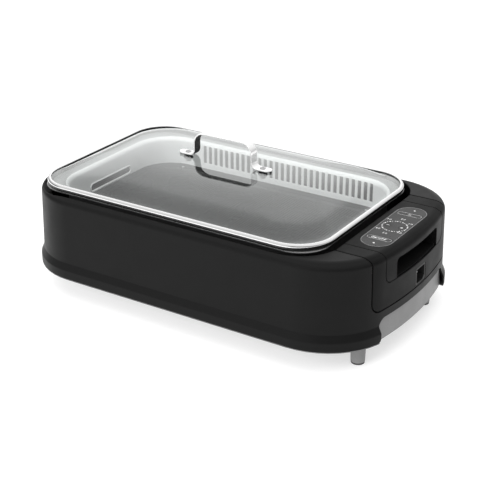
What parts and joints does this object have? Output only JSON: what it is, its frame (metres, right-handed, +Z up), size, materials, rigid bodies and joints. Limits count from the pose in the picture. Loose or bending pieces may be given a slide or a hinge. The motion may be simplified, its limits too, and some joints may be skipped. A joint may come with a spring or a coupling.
{
  "type": "electric indoor grill with lid",
  "caption": "Countertop electric grill: low housing, lift-out control and heater module, deep grill tray, drip tray, smoke fan and domed glass lid with strap handle.",
  "frame": {"origin": "on the floor, under the middle of the housing", "axes": "+X towards the control end, +Y to the back, +Z up"},
  "size_m": [0.5214, 0.318, 0.212],
  "materials": {
    "body_black": "fine moulded texture, satin",
    "frame_dark": "heat-proof moulding",
    "pan_grey": "satin moulded",
    "foot_grey": "satin moulded",
    "pad_rubber": "matte",
    "screw_steel": "plated",
    "fan_black": "moulded",
    "motor_metal": "plated",
    "contact_brass": "plated",
    "contact_black": "moulded",
    "drip_metal": "satin",
    "cap_black": "fine moulded texture, satin",
    "pocket_black": "matte",
    "panel_film": "satin film with printed marks",
    "key_film": "satin film with printed marks",
    "lens_white": "frosted",
    "board_green": "solder mask",
    "inlet_black": "matte",
    "pin_nickel": "plated",
    "element_steel": "oxidised",
    "bracket_steel": "galvanised",
    "terminal_ceramic": "glazed ceramic",
    "tray_silver": "satin, smooth",
    "plate_coat": "cast, dark non-stick coat, fine raised grid",
    "glass": "clear tempered",
    "rim_steel": "polished stainless",
    "seal_black": "silicone",
    "handle_steel": "polished stainless"
  },
  "bodies": {
    "base": {"base_housing": "body_black", "inner_frame": "frame_dark", "bottom_pan": "pan_grey", "feet": "foot_grey", "foot_pads": "pad_rubber", "base_screws": "screw_steel", "fan_frame": "fan_black", "fan_motor": "motor_metal", "fan_screws": "screw_steel", "base_contact_block": "contact_black", "base_contact_pins": "contact_brass"},
    "fan": {"fan_wheel": "fan_black", "fan_shaft": "screw_steel"},
    "drip": {"drip_tray": "drip_metal"},
    "control_module": {"control_housing": "cap_black", "control_cap": "cap_black", "grip_pocket": "pocket_black", "module_back": "frame_dark", "touch_panel": "panel_film", "panel_carrier": "fan_black", "indicator_lenses": "lens_white", "control_board": "board_green", "tactile_switches": "contact_black", "inlet_shell": "inlet_black", "inlet_pins": "pin_nickel", "module_contact": "contact_black", "module_screws": "screw_steel", "heating_element": "element_steel", "element_bracket": "bracket_steel", "element_terminals": "terminal_ceramic", "element_supports": "bracket_steel", "thermostat_probe": "bracket_steel"},
    "power_button": {"power_key": "key_film"},
    "fan_button": {"fan_key": "key_film"},
    "minus_button": {"minus_key": "key_film"},
    "plus_button": {"plus_key": "key_film"},
    "grill_tray": {"tray_wall": "tray_silver", "grill_plate": "plate_coat", "plate_screws": "screw_steel"},
    "lid": {"lid_glass": "glass", "lid_rim": "rim_steel", "lid_seal": "seal_black", "lid_handle": "handle_steel", "handle_screws": "handle_steel", "handle_washers": "seal_black", "handle_nuts": "screw_steel"}
  },
  "joints": [
    {"name": "drip_tray_lift", "type": "slide", "parent": "base", "child": "drip", "axis": [0, 0, 1], "range_m": [0, 0.08]},
    {"name": "module_lift", "type": "slide", "parent": "drip", "child": "control_module", "axis": [0, 0, 1], "range_m": [0, 0.12]},
    {"name": "grill_tray_lift", "type": "slide", "parent": "control_module", "child": "grill_tray", "axis": [0, 0, 1], "range_m": [0, 0.12]},
    {"name": "lid_lift", "type": "slide", "parent": "grill_tray", "child": "lid", "axis": [0, 0, 1], "range_m": [0, 0.15]},
    {"name": "power_press", "type": "slide", "parent": "control_module", "child": "power_button", "axis": [0, 0, -1], "range_m": [0, 0.0005], "stiffness_N_per_m": 600},
    {"name": "fan_press", "type": "slide", "parent": "control_module", "child": "fan_button", "axis": [0, 0, -1], "range_m": [0, 0.0005], "stiffness_N_per_m": 600},
    {"name": "minus_press", "type": "slide", "parent": "control_module", "child": "minus_button", "axis": [0, 0, -1], "range_m": [0, 0.0005], "stiffness_N_per_m": 600},
    {"name": "plus_press", "type": "slide", "parent": "control_module", "child": "plus_button", "axis": [0, 0, -1], "range_m": [0, 0.0005], "stiffness_N_per_m": 600},
    {"name": "fan_spin", "type": "hinge", "parent": "base", "child": "fan", "pos_m": [0.222, -0.04, 0.05], "axis": [0, 0, 1], "continuous": true}
  ]
}
